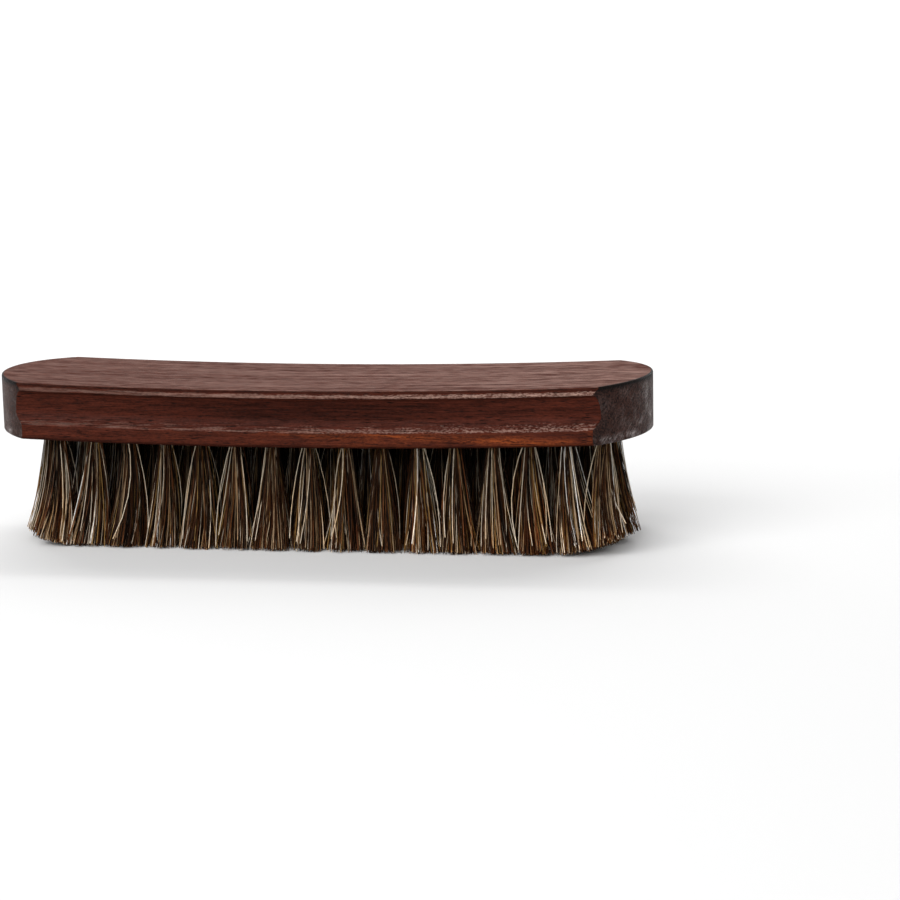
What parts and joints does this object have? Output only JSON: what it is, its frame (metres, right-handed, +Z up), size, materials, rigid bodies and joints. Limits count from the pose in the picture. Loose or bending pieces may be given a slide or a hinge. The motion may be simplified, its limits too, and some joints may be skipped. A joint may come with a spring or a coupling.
{
  "type": "shoe brush",
  "caption": "Horsehair brush for polishing shoes: a bowed wooden block with moulded sides and rounded ends, and staggered rows of hair tufts set in its underside.",
  "frame": {"origin": "midway along and across the brush, at the tips of the hair, which it stands on", "axes": "+X along the block, +Y across it, +Z up from the hair to the block's back"},
  "size_m": [0.1712, 0.05, 0.0435],
  "materials": {
    "wood": "red-brown stained hardwood, satin lacquer, raw sanded end grain",
    "hair": "mixed natural horsehair, from blond to dark brown"
  },
  "bodies": {
    "root": {"block": "wood", "front_tuft_01": "hair", "front_tuft_02": "hair", "front_tuft_03": "hair", "front_tuft_04": "hair", "front_tuft_05": "hair", "front_tuft_06": "hair", "front_tuft_07": "hair", "front_tuft_08": "hair", "front_tuft_09": "hair", "front_tuft_10": "hair", "front_tuft_11": "hair", "front_tuft_12": "hair", "front_tuft_13": "hair", "front_tuft_14": "hair", "front_tuft_15": "hair", "front_tuft_16": "hair", "middle_tuft_01": "hair", "middle_tuft_02": "hair", "middle_tuft_03": "hair", "middle_tuft_04": "hair", "middle_tuft_05": "hair", "middle_tuft_06": "hair", "middle_tuft_07": "hair", "middle_tuft_08": "hair", "middle_tuft_09": "hair", "middle_tuft_10": "hair", "middle_tuft_11": "hair", "middle_tuft_12": "hair", "middle_tuft_13": "hair", "middle_tuft_14": "hair", "middle_tuft_15": "hair", "middle_tuft_16": "hair", "back_tuft_01": "hair", "back_tuft_02": "hair", "back_tuft_03": "hair", "back_tuft_04": "hair", "back_tuft_05": "hair", "back_tuft_06": "hair", "back_tuft_07": "hair", "back_tuft_08": "hair", "back_tuft_09": "hair", "back_tuft_10": "hair", "back_tuft_11": "hair", "back_tuft_12": "hair", "back_tuft_13": "hair", "back_tuft_14": "hair", "back_tuft_15": "hair", "back_tuft_16": "hair", "second_row": "hair", "fourth_row": "hair"}
  },
  "joints": []
}
